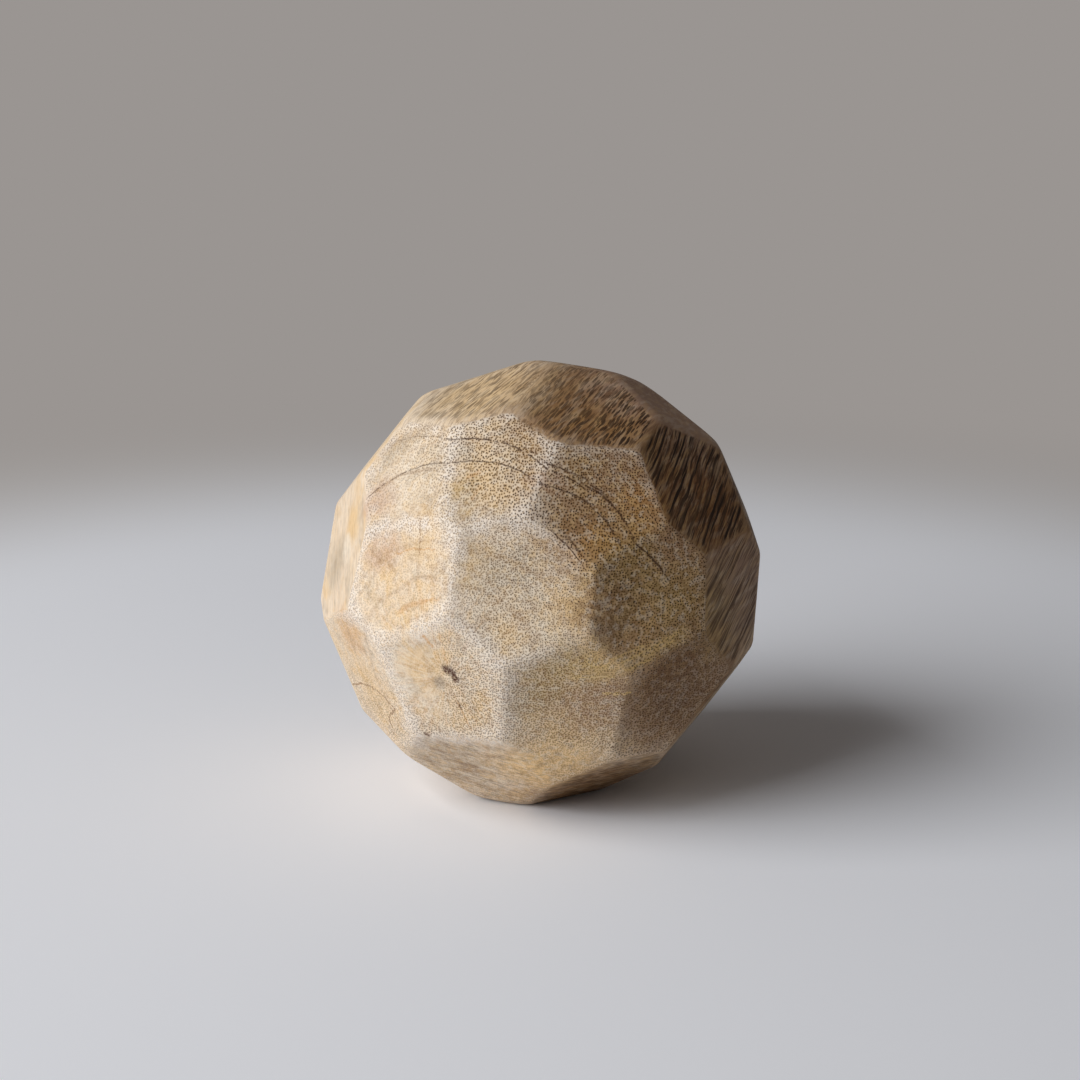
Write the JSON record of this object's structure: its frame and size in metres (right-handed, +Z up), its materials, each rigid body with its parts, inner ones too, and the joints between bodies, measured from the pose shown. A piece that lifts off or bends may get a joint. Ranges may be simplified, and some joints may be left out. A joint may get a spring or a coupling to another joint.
{
  "type": "faceted wooden ball",
  "caption": "Solid wooden ball with hand-cut flats and soft edges, standing on its deepest flat: a desk or shelf ornament.",
  "frame": {"origin": "on the flat that the ball stands on, straight below the centre of the turned ball", "axes": "+Z up, square to that flat; -Y towards the front, +X to the right as seen from the front"},
  "size_m": [0.0785, 0.0784, 0.0772],
  "materials": {
    "limed_wood": "raw hand-sanded wood, end grain with fine dark pores on the front flats and long streaks on the sides, pale limed edges"
  },
  "bodies": {
    "root": {"ball": "limed_wood"}
  },
  "joints": []
}
